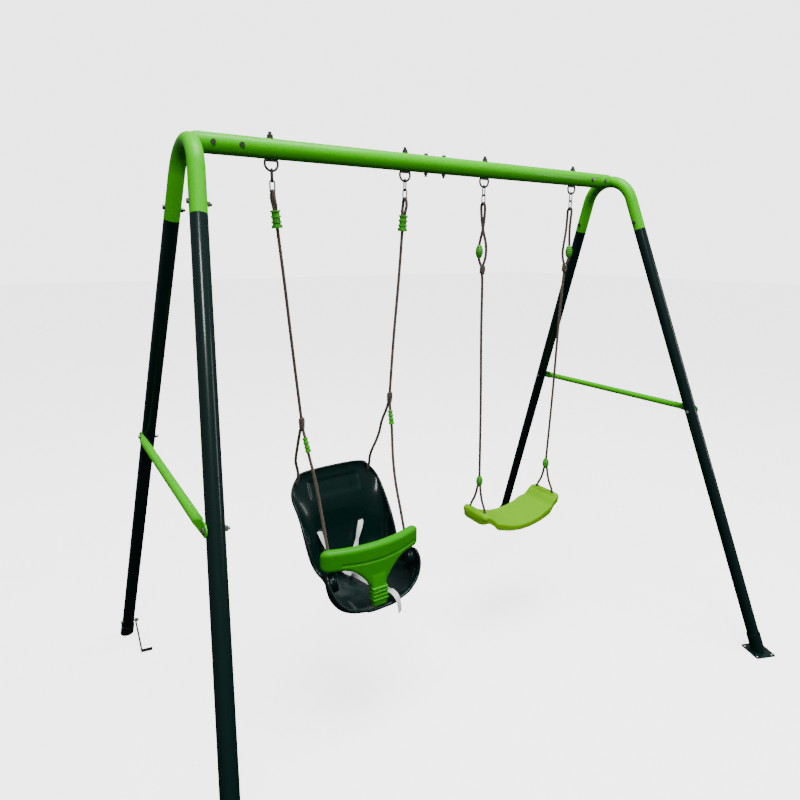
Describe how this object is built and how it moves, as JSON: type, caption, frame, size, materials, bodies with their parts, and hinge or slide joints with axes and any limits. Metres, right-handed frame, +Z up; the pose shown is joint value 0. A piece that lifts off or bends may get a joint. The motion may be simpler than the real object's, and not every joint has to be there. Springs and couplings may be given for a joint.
{
  "type": "swing set",
  "caption": "Garden swing set: lime and dark green A-frame tubes carrying a child's bucket swing with safety bar and a curved board swing, both on ropes.",
  "frame": {"origin": "on the ground, under the middle of the top beam", "axes": "+X along the beam to the right, +Y to the rear, +Z up; the seats face -Y"},
  "size_m": [2.2762, 1.6123, 1.9145],
  "materials": {
    "lime_paint": "gloss",
    "green_paint": "gloss",
    "foot_plastic": "satin",
    "dark_steel": "satin",
    "clip_plastic": "satin",
    "rope": "matte",
    "seat_plastic": "gloss",
    "bar_plastic": "satin",
    "board_plastic": "satin",
    "webbing": "matte"
  },
  "bodies": {
    "frame": {"beam_left": "lime_paint", "beam_right": "lime_paint", "corner_left": "lime_paint", "corner_right": "lime_paint", "leg_upper_front_left": "green_paint", "leg_upper_front_right": "green_paint", "leg_upper_rear_left": "green_paint", "leg_upper_rear_right": "green_paint", "leg_lower_front_left": "green_paint", "leg_lower_front_right": "green_paint", "leg_lower_rear_left": "green_paint", "leg_lower_rear_right": "green_paint", "brace_left": "lime_paint", "brace_right": "lime_paint", "foot_plate_left": "green_paint", "foot_plate_right": "green_paint", "end_cap_left": "foot_plastic", "end_cap_right": "foot_plastic", "anchor_bolts": "dark_steel", "beam_bolts": "dark_steel", "arch_bolts": "dark_steel", "brace_bolts": "dark_steel", "hanger_baby_left": "dark_steel", "hanger_baby_right": "dark_steel", "hanger_board_left": "dark_steel", "hanger_board_right": "dark_steel", "hanger_nuts": "dark_steel"},
    "anchor_left": {"anchor_left": "dark_steel"},
    "anchor_right": {"anchor_right": "dark_steel"},
    "baby_swing": {"chain_baby_left": "dark_steel", "chain_baby_right": "dark_steel", "baby_rope_left": "rope", "baby_rope_right": "rope", "baby_adjuster_left": "clip_plastic", "baby_adjuster_right": "clip_plastic", "baby_knots": "rope", "front_rope_left": "rope", "front_rope_right": "rope", "front_adjuster_left": "clip_plastic", "front_adjuster_right": "clip_plastic", "rear_rope_left": "rope", "rear_rope_right": "rope", "baby_seat": "seat_plastic", "baby_straps": "webbing"},
    "safety_bar": {"safety_bar": "bar_plastic"},
    "board_swing": {"chain_board_left": "dark_steel", "chain_board_right": "dark_steel", "board_rope_left": "rope", "board_rope_right": "rope", "board_adjuster_left": "clip_plastic", "board_adjuster_right": "clip_plastic", "board_knots": "rope", "board_splitter_left": "clip_plastic", "board_splitter_right": "clip_plastic", "board_sling_left": "rope", "board_sling_right": "rope", "board_seat": "board_plastic"}
  },
  "joints": [
    {"name": "baby_swing_hinge", "type": "hinge", "parent": "frame", "child": "baby_swing", "pos_m": [-0.3965, 0, 1.8115], "axis": [1, 0, 0], "range_deg": [-45, 45]},
    {"name": "board_swing_hinge", "type": "hinge", "parent": "frame", "child": "board_swing", "pos_m": [0.3965, 0, 1.8115], "axis": [1, 0, 0], "range_deg": [-45, 45]},
    {"name": "safety_bar_slide", "type": "slide", "parent": "baby_swing", "child": "safety_bar", "axis": [0, 0.332, 0.9433], "range_m": [0, 0.15]},
    {"name": "anchor_left_hinge", "type": "hinge", "parent": "frame", "child": "anchor_left", "pos_m": [-1.07459, 0.74092, 0.06529], "axis": [-0.9925, 0, 0.1219], "range_deg": [0, 85]},
    {"name": "anchor_right_hinge", "type": "hinge", "parent": "frame", "child": "anchor_right", "pos_m": [1.07459, 0.74092, 0.06529], "axis": [-0.9925, 0, -0.1219], "range_deg": [0, 85]}
  ]
}
